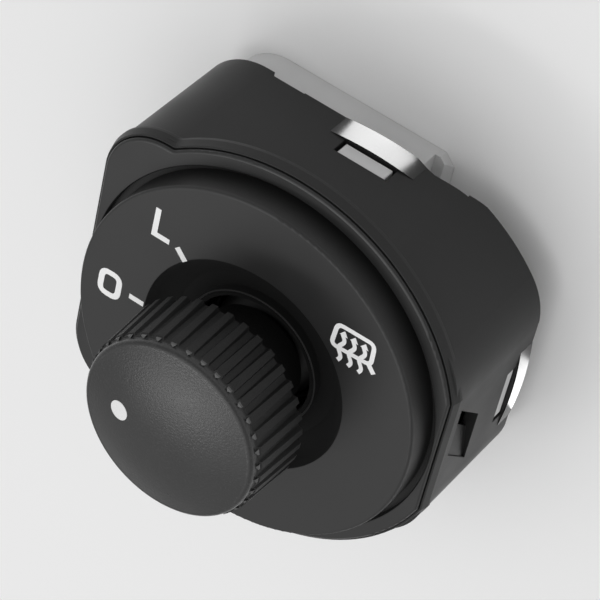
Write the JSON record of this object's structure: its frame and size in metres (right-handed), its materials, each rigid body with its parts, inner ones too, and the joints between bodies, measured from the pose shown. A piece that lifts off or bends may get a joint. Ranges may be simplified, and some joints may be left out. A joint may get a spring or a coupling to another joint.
{
  "type": "door mirror switch",
  "caption": "Door mirror switch: round dial on a moulded housing, with a ribbed knob that turns to choose a mirror and tilts like a small joystick to adjust it.",
  "frame": {"origin": "centre of the bottom: the flat rear face of the rear cover, on the knob axis", "axes": "+Z along the knob axis towards the knob, +Y towards the top of the dial, +X to the right of the dial as it is read"},
  "size_m": [0.0478, 0.0504, 0.0421],
  "materials": {
    "shell_plastic": "fine satin",
    "plate_plastic": "semi-gloss",
    "knob_plastic": "fine grain",
    "cover_plastic": "matt",
    "dot_plastic": "matt",
    "tinned_contact": "tinned",
    "board_laminate": "satin",
    "lamp_body": "gloss",
    "clear_plastic": "clear",
    "mat_rubber": "matt",
    "frame_plastic": "matt",
    "acetal_white": "satin",
    "acetal_black": "satin",
    "spring_steel": "bright",
    "contact_bronze": "bright"
  },
  "bodies": {
    "root": {"housing": "shell_plastic", "front_bezel": "plate_plastic", "face_disc": "shell_plastic", "light_guide": "clear_plastic", "rear_cover": "cover_plastic", "terminal_pin_1": "tinned_contact", "terminal_pin_2": "tinned_contact", "terminal_pin_3": "tinned_contact", "terminal_pin_4": "tinned_contact", "terminal_pin_5": "tinned_contact", "terminal_pin_6": "tinned_contact", "terminal_pin_7": "tinned_contact", "terminal_pin_8": "tinned_contact", "circuit_board": "board_laminate", "led_1": "lamp_body", "led_2": "lamp_body", "dome_mat": "mat_rubber", "bearing_frame": "frame_plastic", "detent_spring": "spring_steel"},
    "tilt_frame": {"gimbal_ring": "acetal_black"},
    "tilt_head": {"tilt_carrier": "acetal_black"},
    "knob_body": {"knob": "knob_plastic", "pointer_dot": "dot_plastic", "knob_stem": "acetal_black", "stem_circlip": "spring_steel"},
    "selector": {"selector_rotor": "acetal_white", "rotor_wiper": "contact_bronze"}
  },
  "joints": [
    {"name": "tilt_up_down", "type": "hinge", "parent": "root", "child": "tilt_frame", "pos_m": [0, 0, 0.01945], "axis": [1, 0, 0], "range_deg": [-7, 7], "stiffness_Nm_per_rad": 0.4, "deforming": ["dome_mat"]},
    {"name": "tilt_left_right", "type": "hinge", "parent": "tilt_frame", "child": "tilt_head", "pos_m": [0, 0, 0.01945], "axis": [0, 1, 0], "range_deg": [-7, 7], "stiffness_Nm_per_rad": 0.4, "deforming": ["dome_mat"]},
    {"name": "knob_turn", "type": "hinge", "parent": "tilt_head", "child": "knob_body", "pos_m": [0, 0, 0.01945], "axis": [0, 0, 1], "range_deg": [-135, 45]},
    {"name": "selector_turn", "type": "hinge", "parent": "root", "child": "selector", "pos_m": [0, 0, 0.01945], "axis": [0, 0, 1], "range_deg": [-135, 45], "deforming": ["detent_spring"]}
  ],
  "couplings": [
    {"joint": "selector_turn", "follows": "knob_turn", "ratio": 1}
  ]
}
